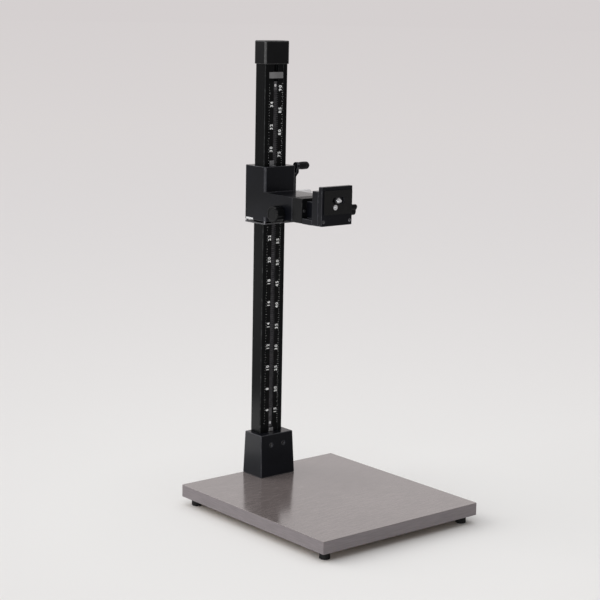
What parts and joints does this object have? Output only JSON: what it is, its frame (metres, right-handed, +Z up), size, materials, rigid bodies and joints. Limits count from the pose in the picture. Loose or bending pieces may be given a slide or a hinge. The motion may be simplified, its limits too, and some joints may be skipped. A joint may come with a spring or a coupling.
{
  "type": "copy stand",
  "caption": "Copy stand: a board on rubber feet, a toothed column in a cast base, a crank-driven carriage with a sliding arm and a swivelling head with a camera screw.",
  "frame": {"origin": "on the floor, at the middle of the stand's bounding box seen from above", "axes": "+X to the right, +Y to the back where the column stands, +Z up"},
  "size_m": [0.45, 0.513, 1.053],
  "materials": {
    "board_laminate": "satin grey laminate with a fine grain",
    "board_edging": "grey edge band",
    "board_wood": "bare particle board",
    "black_rubber": "moulded black rubber",
    "black_casting": "black satin paint on a casting",
    "black_anodised": "black anodised extrusion",
    "black_plastic": "black moulded plastic",
    "bright_steel": "turned bright steel",
    "dark_steel": "blackened steel",
    "bare_aluminium": "turned bare aluminium",
    "bronze": "sintered bronze",
    "grey_felt": "pressed grey fibre",
    "white_plastic": "white low-friction plastic"
  },
  "bodies": {
    "stand": {"board_core": "board_wood", "board_top_sheet": "board_laminate", "board_edge_band": "board_edging", "foot_front_left": "black_rubber", "foot_front_right": "black_rubber", "foot_rear_left": "black_rubber", "foot_rear_right": "black_rubber", "column_base": "black_casting", "base_bolt_left": "dark_steel", "base_bolt_right": "dark_steel", "base_clamp_plate": "dark_steel", "base_clamp_screw_left": "dark_steel", "base_clamp_screw_right": "dark_steel", "column": "black_anodised", "rack": "dark_steel", "rack_screw_lower": "bright_steel", "rack_screw_upper": "bright_steel", "scale_cm": "black_anodised", "scale_inch": "black_anodised", "blank_plate": "bare_aluminium", "end_stop": "bare_aluminium", "column_cap": "black_plastic"},
    "carriage": {"carriage_body": "black_casting", "rear_cover": "black_plastic", "lower_plate": "dark_steel", "glide_strip_left": "white_plastic", "glide_strip_right": "white_plastic", "upper_axle": "bright_steel", "lower_axle": "bright_steel", "height_pointer": "white_plastic", "arm_collar": "black_plastic", "collar_screw_left": "dark_steel", "collar_screw_right": "dark_steel", "bush_left": "bronze", "bush_right": "bronze", "arm_clamp_pad": "white_plastic"},
    "drive": {"drive_shaft": "bright_steel", "drive_pinion": "dark_steel", "brake_washer": "grey_felt", "crank_arm": "black_casting", "crank_pin": "dark_steel"},
    "crank_handle": {"crank_grip": "black_plastic"},
    "drive_lock": {"drive_lock_knob": "bare_aluminium"},
    "upper_roller_wheel": {"upper_roller": "white_plastic"},
    "lower_roller_wheel": {"lower_roller": "white_plastic"},
    "arm": {"arm_bar": "black_casting", "head_pivot": "bright_steel", "pivot_screw": "dark_steel"},
    "arm_clamp": {"arm_clamp_knob": "black_plastic"},
    "head": {"head_body": "black_casting", "head_plate": "black_casting", "head_screw_left": "dark_steel", "head_screw_right": "dark_steel", "rubber_pad": "black_rubber", "index_pin": "bright_steel"},
    "head_lock": {"head_lock_knob": "black_plastic"},
    "camera_slider": {"screw_slider": "dark_steel"},
    "camera_screw_wheel": {"camera_screw": "bright_steel", "screw_wheel": "dark_steel"}
  },
  "joints": [
    {"name": "carriage_slide", "type": "slide", "parent": "stand", "child": "carriage", "axis": [0, 0, 1], "range_m": [-0.484, 0.215]},
    {"name": "crank_spin", "type": "hinge", "parent": "carriage", "child": "drive", "pos_m": [0, 0.19475, 0.702], "axis": [1, 0, 0], "continuous": true},
    {"name": "crank_handle_spin", "type": "hinge", "parent": "drive", "child": "crank_handle", "pos_m": [0.075, 0.19475, 0.769], "axis": [1, 0, 0], "continuous": true},
    {"name": "drive_lock_turn", "type": "hinge", "parent": "drive", "child": "drive_lock", "pos_m": [0.075, 0.19475, 0.702], "axis": [1, 0, 0], "range_deg": [0, 270]},
    {"name": "upper_roller_spin", "type": "hinge", "parent": "carriage", "child": "upper_roller_wheel", "pos_m": [0, 0.2443, 0.754], "axis": [1, 0, 0], "continuous": true},
    {"name": "lower_roller_spin", "type": "hinge", "parent": "carriage", "child": "lower_roller_wheel", "pos_m": [0, 0.1957, 0.657], "axis": [1, 0, 0], "continuous": true},
    {"name": "arm_slide", "type": "slide", "parent": "carriage", "child": "arm", "axis": [0, -1, 0], "range_m": [0, 0.035]},
    {"name": "arm_clamp_turn", "type": "hinge", "parent": "carriage", "child": "arm_clamp", "pos_m": [-0.056, 0.1255, 0.672], "axis": [-1, 0, 0], "range_deg": [0, 360]},
    {"name": "head_swivel", "type": "hinge", "parent": "arm", "child": "head", "pos_m": [0, 0.0157, 0.689], "axis": [0, -1, 0], "range_deg": [-90, 90]},
    {"name": "head_lock_turn", "type": "hinge", "parent": "head", "child": "head_lock", "pos_m": [0.065, 0.0117, 0.689], "axis": [1, 0, 0], "range_deg": [0, 270]},
    {"name": "camera_slide", "type": "slide", "parent": "head", "child": "camera_slider", "axis": [1, 0, 0], "range_m": [-0.01, 0.01]},
    {"name": "camera_screw_spin", "type": "hinge", "parent": "camera_slider", "child": "camera_screw_wheel", "pos_m": [0.003, -0.01, 0.714], "axis": [0, 1, 0], "continuous": true}
  ],
  "couplings": [
    {"joint": "crank_spin", "follows": "carriage_slide", "rad_per_m": -111.11},
    {"joint": "upper_roller_spin", "follows": "carriage_slide", "rad_per_m": 142.86},
    {"joint": "lower_roller_spin", "follows": "carriage_slide", "rad_per_m": -166.67}
  ]
}
